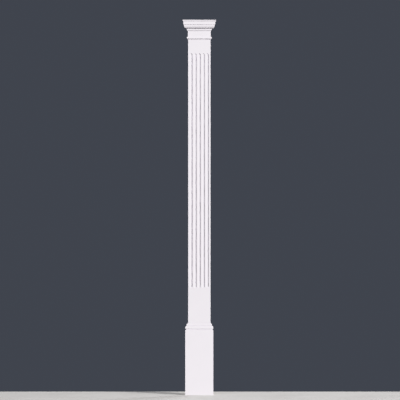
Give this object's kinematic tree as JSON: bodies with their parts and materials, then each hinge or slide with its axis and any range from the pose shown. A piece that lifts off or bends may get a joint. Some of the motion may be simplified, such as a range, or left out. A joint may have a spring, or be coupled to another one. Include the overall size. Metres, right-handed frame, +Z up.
{
  "type": "pilaster",
  "caption": "Fluted wall pilaster of moulded white foam: a plain base block with a moulded top, a flat fluted shaft and a stepped, moulded capital, all flat at the back.",
  "frame": {"origin": "on the flat back that is glued to the wall, at floor level, on the middle line", "axes": "+Y into the wall, square to the back; -Y out of the front; +Z up along the pilaster; +X to the right as seen from the front"},
  "size_m": [0.186, 0.049, 2.0816],
  "materials": {
    "base_white_foam": "matt factory primer on rigid polyurethane foam",
    "shaft_white_foam": "matt factory primer on rigid polyurethane foam",
    "capital_white_foam": "matt factory primer on rigid polyurethane foam"
  },
  "bodies": {
    "root": {"base_block": "base_white_foam", "shaft": "shaft_white_foam", "capital": "capital_white_foam"}
  },
  "joints": []
}
